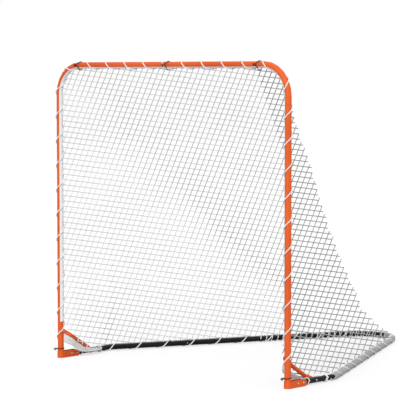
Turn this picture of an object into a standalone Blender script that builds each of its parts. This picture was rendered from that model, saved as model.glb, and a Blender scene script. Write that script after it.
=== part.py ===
"""Folding lacrosse goal with its net: a Blender script that builds every piece of it.

Units are metres and +Z is up. +Y points from the mouth back to the apex of the base, and +X is to the
right of someone who faces the mouth. The origin is on the ground, under the middle of the goal. Most
functions below measure y from the plane of the posts, and at() moves such a point into the world.
"""

import math

import bmesh
import bpy
from mathutils import Matrix, Vector

# --- driving dimensions -------------------------------------------------------------------------------
MOUTH_OPENING = 1.829  # clear width between the posts, and clear height under the crossbar
POST_OD = 0.038
BASE_OD = 0.032
BRACE_OD = 0.025
WALL = 0.0014
GAP = 0.0003  # what two pieces that touch keep between them
FIT_GAP = 0.0006  # between a tube and the one that plugs into it
SWAGE_LENGTH = 0.040
SHOULDER = 0.0015
CORNER_RADIUS = 0.180  # of the frame's top corners, at the tube's middle
POST_SEAM_Z = 0.750
BASE_AXIS_Z = 0.0225
BASE_BEND_Y = 0.420  # where the base turns inwards
BASE_BEND_RADIUS = 0.100
APEX_Y = 2.095  # middle of the base tube at its rearmost point
APEX_RADIUS = 0.220
BASE_SEAM_FROM_BEND = 0.55
APEX_ARM = 0.200
PIVOT_Y = 0.075
LOCK_Y = 0.123
TUBE_END_BEFORE_PIVOT = 0.012
BRACKET_END_Y = 0.150
BRACKET_HEIGHT = 0.042
BRACKET_THICKNESS = 0.0025
BRACE_TOP_Z = 0.171
BRACE_FOOT_Y = 0.245
CORD_DIAMETER = 0.0042
TAPE_WIDTH = 0.030
TAPE_THICKNESS = 0.0018
LACING_PER_RUN = 10  # times the lacing crosses round each post, and round the crossbar
LACING_LEFT_LOW = 0.296  # height of the left post's first crossing
LACING_RIGHT_LOW = 0.326  # height of the right post's last but one
POST_LACING_PITCH = 0.1547
CROSSBAR_LACING_FIRST = -0.660
CROSSBAR_LACING_PITCH = 0.158
LACING_TURN = math.radians(324)  # how far round the tube one crossing goes
LACING_STEPS = 7
LACING_LEAN = 0.045  # how far along the tube one crossing takes the cord
BASE_LACING_PITCH = 0.188
BASE_LACING_COUNT = 10
BALL_RADIUS = 0.0095
BALL_REACH = 0.050  # from a tube's middle to the middle of its ball
BUNGEE_DIAMETER = 0.004
BUNGEE_POST_Z = 0.060
BUNGEE_CROSSBAR_X = (-0.743, 0.005, 0.718)
BUNGEE_LIFT = 0.010  # clearance of a crossbar bungee under the tape and the lacing
NET_THICKNESS = 0.001
SEAM_TOP_X = 0.695  # where the net's seams leave the crossbar
SEAM_SAG = 0.272
SIDES = 12
APEX_STEPS = 10
ELBOW_STEPS = 6
BEND_STEPS = 3

# --- worked out from them -----------------------------------------------------------------------------
POST_X = (MOUTH_OPENING + POST_OD) / 2
CROSSBAR_Z = MOUTH_OPENING + POST_OD / 2
POST_R = POST_OD / 2
BASE_R = BASE_OD / 2
CORNER_Z = CROSSBAR_Z - CORNER_RADIUS  # where the corners start to bend
CORNER_X = POST_X - CORNER_RADIUS
ELBOW_POST_Z = CORNER_Z - 0.045
ELBOW_CROSSBAR_X = CORNER_X - 0.022
FRONT_Y = -(BALL_REACH + BALL_RADIUS)
BACK_Y = APEX_Y + BASE_R + GAP + TAPE_THICKNESS
POST_Y = -(FRONT_Y + BACK_Y) / 2  # world y of the posts' plane
ACROSS, BACKWARD, UP = Vector((1, 0, 0)), Vector((0, 1, 0)), Vector((0, 0, 1))
LEFT, RIGHT = -1, 1
SIDE_NAME = {LEFT: "left", RIGHT: "right"}


def at(x, y, z):
    """The world point at x, y behind the posts' plane and z above the ground."""
    return Vector((x, y + POST_Y, z))


# --- materials ----------------------------------------------------------------------------------------
def material(name, colour, roughness, metallic=0.0):
    made = bpy.data.materials.new(name)
    made.use_nodes = True
    shader = made.node_tree.nodes["Principled BSDF"]
    shader.inputs["Base Color"].default_value = (*colour, 1)
    shader.inputs["Roughness"].default_value = roughness
    shader.inputs["Metallic"].default_value = metallic
    return made


def orange_paint(name):
    return material(name, (0.85, 0.16, 0.03), 0.35)


def black_paint(name):
    return material(name, (0.012, 0.012, 0.013), 0.25)


def zinc(name):
    return material(name, (0.72, 0.70, 0.66), 0.3, 1.0)


def white_cord(name):
    return material(name, (0.85, 0.85, 0.84), 0.8)


def white_webbing(name):
    return material(name, (0.78, 0.78, 0.77), 0.85)


def netting(name):
    return material(name, (0.70, 0.71, 0.72), 0.85)


def black_rubber(name):
    return material(name, (0.01, 0.01, 0.01), 0.5)


# --- objects ------------------------------------------------------------------------------------------
def clear_scene():
    for obj in list(bpy.data.objects):
        bpy.data.objects.remove(obj, do_unlink=True)


def empty(name, place):
    """An empty on a body's own axis. Its pieces are its children."""
    obj = bpy.data.objects.new(name, None)
    obj.location = place
    bpy.context.scene.collection.objects.link(obj)
    return obj


def add_object(name, bm, body, look, smooth=True):
    """A closed mesh, given in world coordinates, as an object whose origin is its body's empty."""
    bmesh.ops.recalc_face_normals(bm, faces=bm.faces)
    bm.transform(Matrix.Translation(-body.location))
    mesh = bpy.data.meshes.new(name)
    bm.to_mesh(mesh)
    bm.free()
    if smooth:
        mesh.shade_smooth()
        mesh.set_sharp_from_angle(angle=math.radians(40))
    obj = bpy.data.objects.new(name, mesh)
    obj.parent = body
    obj.data.materials.append(look(name))
    bpy.context.scene.collection.objects.link(obj)
    return obj


def boolean(obj, other, operation):
    modifier = obj.modifiers.new(operation.lower(), "BOOLEAN")
    modifier.operation = operation
    modifier.solver = "EXACT"
    modifier.object = other


def as_helper(obj):
    obj.hide_render = True
    obj.display_type = "WIRE"
    return obj


def cylinder_cutter(name, centre, axis, radius, length):
    bm = bmesh.new()
    turn = UP.rotation_difference(axis).to_matrix().to_4x4()
    bmesh.ops.create_cone(
        bm, cap_ends=True, segments=12, radius1=radius, radius2=radius, depth=length,
        matrix=Matrix.Translation(centre) @ turn,
    )
    return as_helper(add_object(name, bm, WORLD, black_rubber, smooth=False))


def box_cutter(name, low, high):
    bm = bmesh.new()
    size = [b - a for a, b in zip(low, high)]
    bmesh.ops.create_cube(
        bm, size=1, matrix=Matrix.Translation((low + high) / 2) @ Matrix.Diagonal((*size, 1)),
    )
    return as_helper(add_object(name, bm, WORLD, black_rubber, smooth=False))


# --- shapes -------------------------------------------------------------------------------------------
def ellipse_ring(bm, centre, along, normal, wide, thick):
    """An elliptical ring of vertices round the direction along, with half axes wide and thick."""
    across = along.cross(normal).normalized()
    return [
        bm.verts.new(centre + across * wide * math.cos(a) + normal * thick * math.sin(a))
        for a in (math.tau * (i + 0.5) / SIDES for i in range(SIDES))
    ]


def join_rings(bm, rings, closed):
    pairs = list(zip(rings, rings[1:])) + ([(rings[-1], rings[0])] if closed else [])
    for a, b in pairs:
        for i in range(len(a)):
            bm.faces.new((a[i - 1], a[i], b[i], b[i - 1]))
    if not closed:
        bm.faces.new(rings[0])
        bm.faces.new(rings[-1])


def tube_mesh(stations, normal):
    """An open-ended tube from (centre, direction, (outer wide, thick), (inner wide, thick)) stations."""
    bm = bmesh.new()
    outer = [ellipse_ring(bm, c, d, normal, *out) for c, d, out, _ in stations]
    inner = [ellipse_ring(bm, c, d, normal, *hole) for c, d, _, hole in stations]
    join_rings(bm, outer + inner[::-1], closed=True)
    return bm


def round_station(centre, direction, radius):
    return centre, direction, (radius, radius), (radius - WALL, radius - WALL)


def swage(end, direction, radius):
    """Stations of the reduced end that plugs into the next tube. It starts at the shoulder."""
    thin = radius - WALL - GAP
    return [
        round_station(end - direction * SHOULDER, direction, radius),
        round_station(end, direction, thin),
        round_station(end + direction * SWAGE_LENGTH, direction, thin),
    ]


def plain(end, direction, radius):
    return [round_station(end, direction, radius)]


def straight_tube(name, body, look, start, end, radius, swage_start=False, swage_end=False):
    direction = (end - start).normalized()
    gap = direction * FIT_GAP
    normal = BACKWARD if abs(direction.y) < 0.5 else UP
    head = swage(start, -direction, radius)[::-1] if swage_start else plain(start + gap, direction, radius)
    tail = swage(end, direction, radius) if swage_end else plain(end - gap, direction, radius)
    stations = [(c, direction, out, hole) for c, _, out, hole in head + tail]
    return add_object(name, tube_mesh(stations, normal), body, look)


def bent_tube(name, body, look, path, radius, normal, swage_start=False, swage_end=False):
    """A tube along path, a list of (point, direction)."""
    stations = [round_station(point, direction, radius) for point, direction in path]
    start, first = path[0]
    end, last = path[-1]
    if swage_start:
        stations[:1] = [(c, first, out, hole) for c, _, out, hole in swage(start, -first, radius)[::-1]]
    if swage_end:
        stations[-1:] = swage(end, last, radius)
    return add_object(name, tube_mesh(stations, normal), body, look)


def turned_bolt(name, body, head_side, nut_side, look=zinc, shank=0.003, head=0.006, nut=0.0058):
    """A dome-headed bolt with its nut: the head's seat is at head_side and the nut's at nut_side."""
    axis = (head_side - nut_side).normalized()
    other = axis.orthogonal().normalized()
    third = axis.cross(other)
    bm = bmesh.new()

    def ring(place, radius, hexagon=False):
        verts = []
        for i in range(12):
            a = math.tau * i / 12
            reach = radius / math.cos((a % (math.pi / 3)) - math.pi / 6) if hexagon else radius
            verts.append(bm.verts.new(place + other * reach * math.cos(a) + third * reach * math.sin(a)))
        return verts

    rings = [
        ring(nut_side - axis * 0.0080, shank),
        ring(nut_side - axis * 0.0052, shank),
        ring(nut_side - axis * 0.0052, nut, hexagon=True),
        ring(nut_side, nut, hexagon=True),
        ring(nut_side, shank),
        ring(head_side, shank),
        ring(head_side, head),
        ring(head_side + axis * 0.0028, head * 0.6),
    ]
    join_rings(bm, rings, closed=False)
    return add_object(name, bm, body, look)


def screw(name, body, seat, axis, length=0.010):
    """A short self-drilling screw. Its head rests at seat, and axis points out of the tube."""
    other = axis.orthogonal().normalized()
    third = axis.cross(other)
    bm = bmesh.new()
    profile = [(-length, 0.0008), (-length + 0.003, 0.0022), (0, 0.0022), (0, 0.0048), (0.0026, 0.003)]
    rings = [
        [
            bm.verts.new(seat + axis * h + (other * math.cos(a) + third * math.sin(a)) * r)
            for a in (math.tau * i / 8 for i in range(8))
        ]
        for h, r in profile
    ]
    join_rings(bm, rings, closed=False)
    return add_object(name, bm, body, zinc)


# --- paths --------------------------------------------------------------------------------------------
def arc(centre, start_direction, turn_axis, radius, angle, steps):
    """(point, direction) along an arc that leaves in start_direction and turns round turn_axis."""
    spoke = start_direction.cross(turn_axis) * radius
    path = []
    for i in range(steps + 1):
        turn = Matrix.Rotation(angle * i / steps, 3, turn_axis)
        path.append((centre + turn @ spoke, turn @ start_direction))
    return path


def base_turn():
    """The angle of the base's slanted runs from +Y, and the point where each meets the apex arc."""
    centre_y = APEX_Y - APEX_RADIUS
    reach = math.hypot(POST_X, centre_y - BASE_BEND_Y)
    tangent = math.acos(APEX_RADIUS / reach) + math.atan2(BASE_BEND_Y - centre_y, POST_X)
    return tangent, APEX_RADIUS * math.cos(tangent), centre_y + APEX_RADIUS * math.sin(tangent)


BASE_ANGLE, TANGENT_X, TANGENT_Y = base_turn()


def base_slant(side):
    """Unit direction of a slanted run of the base, towards the apex."""
    return Vector((-side * math.sin(BASE_ANGLE), math.cos(BASE_ANGLE), 0))


def bend_path(side):
    """The bend where a side of the base turns inwards."""
    tangent = BASE_BEND_RADIUS * math.tan(BASE_ANGLE / 2)
    centre = at(side * (POST_X - BASE_BEND_RADIUS), BASE_BEND_Y - tangent, BASE_AXIS_Z)
    return arc(centre, BACKWARD, UP * side, BASE_BEND_RADIUS, BASE_ANGLE, BEND_STEPS)


def apex_path(steps):
    """The rounded apex, from the left tangent point to the right one."""
    centre = at(0, APEX_Y - APEX_RADIUS, BASE_AXIS_Z)
    return arc(centre, base_slant(LEFT), -UP, APEX_RADIUS, math.pi - 2 * BASE_ANGLE, steps)


def frame_path():
    """The whole front frame as (point, direction), from the left foot over the top to the right foot."""
    path = [(at(-POST_X, 0, 0), UP)]
    path += arc(at(-CORNER_X, 0, CORNER_Z), UP, BACKWARD, CORNER_RADIUS, math.pi / 2, ELBOW_STEPS)
    path += arc(at(CORNER_X, 0, CORNER_Z), ACROSS, BACKWARD, CORNER_RADIUS, math.pi / 2, ELBOW_STEPS)
    path.append((at(POST_X, 0, 0), -UP))
    return path


def half_base_path(side):
    """One side of the base as (point, direction), from the bracket to the middle of the apex."""
    path = [(at(side * POST_X, PIVOT_Y, BASE_AXIS_Z), BACKWARD)]
    path += bend_path(side)
    round_the_apex = apex_path(APEX_STEPS)
    half = APEX_STEPS // 2
    if side == LEFT:
        path += round_the_apex[:half + 1]
    else:
        path += [(point, -direction) for point, direction in round_the_apex[:half - 1:-1]]
    return path


def along_path(path, distance):
    """Point and direction at a distance along a path of (point, direction)."""
    for (a, heading_a), (b, heading_b) in zip(path, path[1:]):
        step = (b - a).length
        if distance <= step:
            share = distance / step
            return a.lerp(b, share), heading_a.lerp(heading_b, share).normalized()
        distance -= step
    return path[-1]


def path_length(path):
    return sum((b - a).length for (a, _), (b, _) in zip(path, path[1:]))


def sub_path(path, start, end):
    """The part of a path between two distances along it, with all its own points."""
    cut = [along_path(path, start)]
    travelled = 0
    for (a, _), (b, heading) in zip(path, path[1:]):
        travelled += (b - a).length
        if start + 0.001 < travelled < end - 0.001:
            cut.append((b, heading))
    return cut + [along_path(path, end)]


# --- front frame --------------------------------------------------------------------------------------
def make_post(side, body):
    x = side * POST_X
    name = SIDE_NAME[side]
    seam = at(x, 0, POST_SEAM_Z)
    lower = straight_tube(
        f"post_lower_{name}", body, orange_paint, at(x, 0, -FIT_GAP), seam, POST_R, swage_end=True
    )
    upper = straight_tube(
        f"post_upper_{name}", body, orange_paint, seam, at(x, 0, ELBOW_POST_Z), POST_R, swage_end=True
    )
    return lower, upper


def make_elbow(side, body):
    """A top corner, from the post's seam up and round to the crossbar's seam."""
    first = at(side * POST_X, 0, ELBOW_POST_Z + FIT_GAP)
    last = at(side * ELBOW_CROSSBAR_X, 0, CROSSBAR_Z)
    bend = arc(at(side * CORNER_X, 0, CORNER_Z), UP, -side * BACKWARD, CORNER_RADIUS, math.pi / 2, ELBOW_STEPS)
    path = [(first, UP)] + bend + [(last, -side * ACROSS)]
    return bent_tube(
        f"corner_elbow_{SIDE_NAME[side]}", body, orange_paint, path, POST_R, BACKWARD, swage_end=True
    )


def make_crossbar(body):
    left_end, middle = at(-ELBOW_CROSSBAR_X, 0, CROSSBAR_Z), at(0, 0, CROSSBAR_Z)
    left = straight_tube("crossbar_left", body, orange_paint, left_end, middle, POST_R)
    right_end = at(ELBOW_CROSSBAR_X, 0, CROSSBAR_Z)
    right = straight_tube(
        "crossbar_right", body, orange_paint, middle, right_end, POST_R, swage_start=True
    )
    return left, right


def bracket_outline(inset):
    """Plan of a foot bracket's strip, from its left cheek round the post's front to its right one."""
    radius = POST_R + GAP + inset
    half = BASE_R + 0.0012 + inset
    points = [(-half, BRACKET_END_Y), (-half, 0.042), (-radius, 0.020), (-radius, 0)]
    points += [
        (-radius * math.cos(a), -radius * math.sin(a)) for a in (math.pi * i / 12 for i in range(1, 12))
    ]
    return points + [(-x, y) for x, y in points[3::-1]]


def make_bracket(side, body):
    """A strip bent round the front of the post. Its two cheeks hold the base tube between them."""
    x = side * POST_X
    inner, outer = bracket_outline(0), bracket_outline(BRACKET_THICKNESS)
    bm = bmesh.new()
    rings = []
    for (ix, iy), (ox, oy) in zip(inner, outer):
        corners = ((ix, iy, 0), (ox, oy, 0), (ox, oy, BRACKET_HEIGHT), (ix, iy, BRACKET_HEIGHT))
        rings.append([bm.verts.new(at(x + cx, cy, cz)) for cx, cy, cz in corners])
    join_rings(bm, rings, closed=False)
    bracket = add_object(f"foot_bracket_{SIDE_NAME[side]}", bm, body, orange_paint)
    boolean(bracket, bracket_end_shape(side), "INTERSECT")
    return bracket


def bracket_end_shape(side):
    """A slab with a round rear end, which rounds the ends of both cheeks."""
    radius = BRACKET_HEIGHT / 2
    outline = [(-0.05, -0.001), (BRACKET_END_Y - radius, -0.001)]
    for i in range(7):
        a = -math.pi / 2 + math.pi * i / 6
        outline.append((BRACKET_END_Y - radius + radius * math.cos(a), radius + radius * math.sin(a)))
    outline += [(BRACKET_END_Y - radius, BRACKET_HEIGHT + 0.001), (-0.05, BRACKET_HEIGHT + 0.001)]
    bm = bmesh.new()
    rings = [
        [bm.verts.new(at(side * POST_X + x, y, z)) for y, z in outline] for x in (-0.05, 0.05)
    ]
    join_rings(bm, rings, closed=False)
    shape = add_object(f"bracket_end_{SIDE_NAME[side]}", bm, WORLD, orange_paint, smooth=False)
    return as_helper(shape)


def drill(centre, axis, length, radius, *pieces):
    """One hole through the given pieces."""
    cutter = cylinder_cutter(f"hole_{len(bpy.data.objects)}", centre, axis, radius, length)
    for piece in pieces:
        boolean(piece, cutter, "DIFFERENCE")


def fasten_joint(name, body, centre, outward, radius, outer_tube, inner_tube):
    """A screw through the wall of a seam, where inner_tube's reduced end lies inside outer_tube."""
    seat = centre + outward * (radius + GAP)
    drill(centre + outward * radius, outward, 0.014, 0.0026, outer_tube, inner_tube)
    screw(name, body, seat, outward)


def make_front_frame(body):
    pieces = {}
    crossbar = dict(zip((LEFT, RIGHT), make_crossbar(body)))
    into = SWAGE_LENGTH / 2
    for side in (LEFT, RIGHT):
        x, name = side * POST_X, SIDE_NAME[side]
        lower, upper = make_post(side, body)
        elbow = make_elbow(side, body)
        bracket = make_bracket(side, body)
        fasten_joint(f"post_screw_{name}", body, at(x, 0, POST_SEAM_Z + into), BACKWARD, POST_R, upper, lower)
        fasten_joint(
            f"elbow_post_screw_{name}", body, at(x, 0, ELBOW_POST_Z + into), BACKWARD, POST_R, elbow, upper
        )
        fasten_joint(
            f"elbow_crossbar_screw_{name}", body,
            at(side * (ELBOW_CROSSBAR_X - into), 0, CROSSBAR_Z), BACKWARD, POST_R, crossbar[side], elbow,
        )
        pieces[side] = (lower, bracket)
    fasten_joint(
        "crossbar_middle_screw", body, at(-into, 0, CROSSBAR_Z), BACKWARD, POST_R,
        crossbar[LEFT], crossbar[RIGHT],
    )
    return pieces


# --- base ---------------------------------------------------------------------------------------------
def make_base_side(side, body):
    """The bent front tube and the straight rear tube of one side of the base."""
    name, slant = SIDE_NAME[side], base_slant(side)
    bend = bend_path(side)
    seam = bend[-1][0] + slant * BASE_SEAM_FROM_BEND
    start = at(side * POST_X, PIVOT_Y - TUBE_END_BEFORE_PIVOT, BASE_AXIS_Z)
    path = [(start, BACKWARD)] + bend + [(seam - slant * FIT_GAP, slant)]
    front = bent_tube(f"base_front_{name}", body, black_paint, path, BASE_R, UP)
    arm_end = at(side * TANGENT_X, TANGENT_Y, BASE_AXIS_Z) - slant * APEX_ARM
    rear = straight_tube(
        f"base_rear_{name}", body, black_paint, seam, arm_end, BASE_R, swage_start=True, swage_end=True
    )
    return front, rear, seam, arm_end


def make_base(body):
    sides = {side: make_base_side(side, body) for side in (LEFT, RIGHT)}
    round_part = apex_path(APEX_STEPS)
    first, last = sides[LEFT][3], sides[RIGHT][3]
    slant_left, slant_right = base_slant(LEFT), base_slant(RIGHT)
    path = [(first + slant_left * FIT_GAP, slant_left)] + round_part
    path.append((last + slant_right * FIT_GAP, -slant_right))
    apex = bent_tube("base_apex", body, black_paint, path, BASE_R, UP)
    for side, (front, rear, seam, arm_end) in sides.items():
        name, slant = SIDE_NAME[side], base_slant(side)
        inward = Vector((-side * math.cos(BASE_ANGLE), -math.sin(BASE_ANGLE), 0))
        into = slant * SWAGE_LENGTH / 2
        fasten_joint(f"base_front_screw_{name}", body, seam - into, inward, BASE_R, front, rear)
        fasten_joint(f"base_apex_screw_{name}", body, arm_end + into, inward, BASE_R, apex, rear)
    return {side: made[0] for side, made in sides.items()}


# --- braces and feet ----------------------------------------------------------------------------------
PLATE_GAP = 0.0006
PLATE_HALF = 0.0016
PLATE_X = POST_R + PLATE_GAP + PLATE_HALF  # from the post's middle to the middle of a flattened end
BRACE_BODY_X = POST_R + 0.009 + BRACE_OD / 2
BRACE_REACH = math.hypot(BRACE_FOOT_Y, BRACE_TOP_Z - BASE_AXIS_Z)


def brace_half_sections():
    """(distance from the hole, x from the post's middle, half width, half thickness) of half a brace."""
    tip = 0.0165
    rows = [(-math.sqrt(tip**2 - w**2), PLATE_X, w, PLATE_HALF) for w in (0.006, 0.0125, tip * 0.999)]
    rows += [
        (0.012, PLATE_X, tip, PLATE_HALF),
        (0.030, (PLATE_X + BRACE_BODY_X) / 2, 0.0148, 0.006),
        (0.048, BRACE_BODY_X, BRACE_OD / 2, BRACE_OD / 2),
    ]
    return rows


def make_brace(side, body):
    """A tube with flattened ends, from the post down to the base tube, along their inner sides."""
    x, inward = side * POST_X, -side
    top, foot = at(x, 0, BRACE_TOP_Z), at(x, BRACE_FOOT_Y, BASE_AXIS_Z)
    along = (foot - top).normalized()
    rows = brace_half_sections()
    rows += [(BRACE_REACH - d, offset, wide, thick) for d, offset, wide, thick in rows[::-1]]
    stations = []
    for distance, offset, wide, thick in rows:
        centre = top + along * distance + ACROSS * inward * offset
        hole = (max(wide - WALL, 0.002), max(thick - WALL, 0.0002))
        stations.append((centre, along, (wide, thick), hole))
    return add_object(f"brace_{SIDE_NAME[side]}", tube_mesh(stations, ACROSS), body, orange_paint)


def make_foot_hardware(side, mouth, base, post, bracket, base_tube, brace):
    """The holes and bolts of one foot: pivot, lock, and the two ends of the brace."""
    x, name, outward = side * POST_X, SIDE_NAME[side], ACROSS * side
    cheek = BASE_R + 0.0012 + BRACKET_THICKNESS + GAP
    plate = PLATE_X + PLATE_HALF + GAP
    pivot, lock = at(x, PIVOT_Y, BASE_AXIS_Z), at(x, LOCK_Y, BASE_AXIS_Z)
    top, foot = at(x, 0, BRACE_TOP_Z), at(x, BRACE_FOOT_Y, BASE_AXIS_Z)
    drill(pivot, outward, 0.06, 0.0034, bracket, base_tube)
    turned_bolt(f"pivot_bolt_{name}", mouth, pivot + outward * cheek, pivot - outward * cheek)
    drill(lock, outward, 0.06, 0.0034, bracket)
    slot_low = lock + Vector((-0.020, -0.0085, -0.030))
    slot = box_cutter(f"lock_slot_{name}", slot_low, lock + Vector((0.020, 0.0038, 0.0038)))
    boolean(base_tube, slot, "DIFFERENCE")
    turned_bolt(f"lock_bolt_{name}", mouth, lock + outward * cheek, lock - outward * cheek)
    drill(top, outward, 0.07, 0.0034, post, brace)
    turned_bolt(f"brace_top_bolt_{name}", mouth, top + outward * (POST_R + GAP), top - outward * plate)
    drill(foot, outward, 0.07, 0.0034, base_tube, brace)
    turned_bolt(f"brace_foot_bolt_{name}", base, foot + outward * (BASE_R + GAP), foot - outward * plate)


# --- bungees ------------------------------------------------------------------------------------------
def make_ball(name, centre, body):
    bm = bmesh.new()
    bmesh.ops.create_icosphere(bm, subdivisions=2, radius=BALL_RADIUS, matrix=Matrix.Translation(centre))
    add_object(name, bm, body, black_rubber)


def make_bungee(name, tube_point, in_plane, body, lift=0):
    """An elastic cord that goes round a tube, with its two ends held by a ball in front of the tube."""
    ball = tube_point - BACKWARD * BALL_REACH
    make_ball(f"{name}_ball", ball, body)
    wrap = (POST_R + GAP + BUNGEE_DIAMETER / 2) / math.cos(math.radians(13))
    stop = BALL_REACH - BALL_RADIUS - 0.0015
    path = [(stop, 0.0026), (0.034, 0.0045), (0.026, 0.0125)]
    for i in range(11):
        angle = math.radians(50 + 26 * i)
        reach = wrap + lift * min(math.sin(angle), 0) ** 2
        path.append((reach * math.cos(angle), reach * math.sin(angle)))
    path += [(forward, -sideways) for forward, sideways in path[2::-1]]
    points = [tube_point - BACKWARD * forward + in_plane * sideways for forward, sideways in path]
    cord_object(f"{name}_cord", points, BUNGEE_DIAMETER, body, black_rubber, 4)


def cord_object(name, points, diameter, body, look, sides):
    """A round cord through points, with square-cut ends."""
    bm = bmesh.new()
    radius = diameter / 2
    heading = (points[1] - points[0]).normalized()
    normal = heading.orthogonal().normalized()
    rings = []
    for i, point in enumerate(points):
        heading = (points[min(i + 1, len(points) - 1)] - points[max(i - 1, 0)]).normalized()
        normal = (normal - heading * normal.dot(heading)).normalized()
        other = heading.cross(normal)
        rings.append([
            bm.verts.new(point + (normal * math.cos(a) + other * math.sin(a)) * radius)
            for a in (math.tau * j / sides for j in range(sides))
        ])
    join_rings(bm, rings, closed=False)
    return add_object(name, bm, body, look)


def make_bungees(body):
    for side in (LEFT, RIGHT):
        make_bungee(f"bungee_post_{SIDE_NAME[side]}", at(side * POST_X, 0, BUNGEE_POST_Z), ACROSS, body)
    for place, x in zip(("left", "middle", "right"), BUNGEE_CROSSBAR_X):
        make_bungee(f"bungee_crossbar_{place}", at(x, 0, CROSSBAR_Z), UP, body, BUNGEE_LIFT)


# --- tapes and lacing ---------------------------------------------------------------------------------
def around(heading, toward, angle):
    """The unit direction at an angle round a tube from `toward`, by the right-hand rule on heading."""
    toward = (toward - heading * toward.dot(heading)).normalized()
    return toward * math.cos(angle) + heading.cross(toward) * math.sin(angle)


def tape_section(tube_radius):
    """Half the angle that a tape covers on a tube, and the radii of its two faces."""
    half = TAPE_WIDTH / 2 / tube_radius
    inner = (tube_radius + GAP) / math.cos(half / 4)
    return half, inner, inner + TAPE_THICKNESS


def make_tape(name, path, toward, tube_radius, body):
    """A webbing strip that lies on a tube, its middle in the direction toward(heading)."""
    half, inner, outer = tape_section(tube_radius)
    angles = [half * (i / 2 - 1) for i in range(5)]
    bm = bmesh.new()
    rings = []
    for point, heading in path:
        spots = [(outer, a) for a in angles] + [(inner, a) for a in angles[::-1]]
        rings.append([bm.verts.new(point + around(heading, toward(heading), a) * r) for r, a in spots])
    join_rings(bm, rings, closed=False)
    return add_object(name, bm, body, white_webbing)


def lacing_points(path, crossings, toward, turn, tube_radius):
    """A cord that runs along the tape and crosses round the tube once at each distance in crossings."""
    half_tape, _, outer = tape_section(tube_radius)
    low = tube_radius + GAP + CORD_DIAMETER / 2
    high = outer + GAP + CORD_DIAMETER / 2
    points = []
    for last, crossing in zip([None] + crossings, crossings):
        if last is not None:
            point, heading = along_path(path, (last + crossing - 0.4 * LACING_LEAN) / 2)
            points.append(point + around(heading, toward(heading), 0) * high)
        for step in range(LACING_STEPS + 1):
            share = step / LACING_STEPS
            angle = (math.tau - LACING_TURN) / 2 + share * LACING_TURN
            point, heading = along_path(path, crossing + (share - 0.7) * LACING_LEAN)
            on_tape = min(angle, math.tau - angle) < half_tape + LACING_TURN / LACING_STEPS
            reach = high if on_tape else low
            # A chord between two points dips towards the tube, so the points stand off by that much.
            reach /= math.cos(LACING_TURN / LACING_STEPS / 2)
            points.append(point + around(heading, toward(heading), turn * angle) * reach)
    return points


def frame_inward(heading):
    """From the front frame's tube towards the mouth."""
    return heading.cross(-BACKWARD)


def make_front_lacing(body):
    path = frame_path()
    total = path_length(path)
    start = BRACE_TOP_Z + 0.060
    make_tape("front_tape", sub_path(path, start, total - start), frame_inward, POST_R, body)
    bend = CORNER_RADIUS * math.pi / 2
    runs = range(LACING_PER_RUN)
    crossings = [LACING_LEFT_LOW + POST_LACING_PITCH * i for i in runs]
    crossings.append(CORNER_Z + bend * 0.65)
    middle = total / 2
    crossings += [middle + CROSSBAR_LACING_FIRST + CROSSBAR_LACING_PITCH * i for i in runs]
    crossings.append(total - CORNER_Z - bend * 0.2)
    crossings += [total - LACING_RIGHT_LOW - POST_LACING_PITCH * i for i in runs[-2::-1]]
    points = lacing_points(path, crossings, frame_inward, 1, POST_R)
    cord_object("front_lacing", points, CORD_DIAMETER, body, white_cord, 4)


def make_base_lacing(body):
    for side in (LEFT, RIGHT):
        path = half_base_path(side)

        def outward_and_up(heading, side=side):
            return heading.cross(UP) * side + UP

        total = path_length(path)
        start = BASE_BEND_Y - PIVOT_Y - 0.020
        make_tape(
            f"base_tape_{SIDE_NAME[side]}", sub_path(path, start, total - GAP), outward_and_up, BASE_R, body
        )
        crossings = [start + 0.060 + BASE_LACING_PITCH * i for i in range(BASE_LACING_COUNT)]
        points = lacing_points(path, crossings, outward_and_up, side, BASE_R)
        cord_object(f"base_lacing_{SIDE_NAME[side]}", points, CORD_DIAMETER, body, white_cord, 4)


# --- net ----------------------------------------------------------------------------------------------
NET_EDGE = 0.024  # from a tube's middle to the net's edge, back and in
NET_BOTTOM_Z = BASE_AXIS_Z + 0.032
NET_TOP_Z = CROSSBAR_Z - 0.030
NET_CORNER_Z = 0.240  # where the net leaves the post, above the brace
NET_CORNER_Y = 0.380  # where it reaches the base tube
NET_BULGE = 0.36


def smooth_step(value):
    value = min(max(value, 0), 1)
    return value * value * (3 - 2 * value)


def seam_point(t, side):
    """A seam of the net, which sags from the crossbar (t = 0) to the apex of the base (t = 1)."""
    sag = 4 * t * (1 - t)
    z = NET_TOP_Z + (NET_BOTTOM_Z - NET_TOP_Z) * t - SEAM_SAG * sag
    return Vector((side * SEAM_TOP_X * (1 - t), NET_EDGE + (APEX_Y - NET_EDGE) * t + 0.02 * sag, z))


def frame_edge_x(z):
    """How far out the front frame lets the net reach at a height."""
    reach = CORNER_RADIUS - NET_EDGE
    rise = min(max(z - CORNER_Z, 0), reach)
    return CORNER_X + math.sqrt(reach**2 - rise**2)


def base_outline(share):
    """x and y on the middle line of one side of the base, at a share of the way from post to apex."""
    slant_length = math.hypot(POST_X - TANGENT_X, TANGENT_Y - BASE_BEND_Y)
    arc_length = APEX_RADIUS * (math.pi / 2 - BASE_ANGLE)
    distance = share * (BASE_BEND_Y + slant_length + arc_length)
    if distance < BASE_BEND_Y:
        return POST_X, distance
    distance -= BASE_BEND_Y
    if distance < slant_length:
        part = distance / slant_length
        return POST_X + (TANGENT_X - POST_X) * part, BASE_BEND_Y + (TANGENT_Y - BASE_BEND_Y) * part
    angle = BASE_ANGLE + (distance - slant_length) / APEX_RADIUS
    return APEX_RADIUS * math.cos(angle), APEX_Y - APEX_RADIUS + APEX_RADIUS * math.sin(angle)


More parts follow.
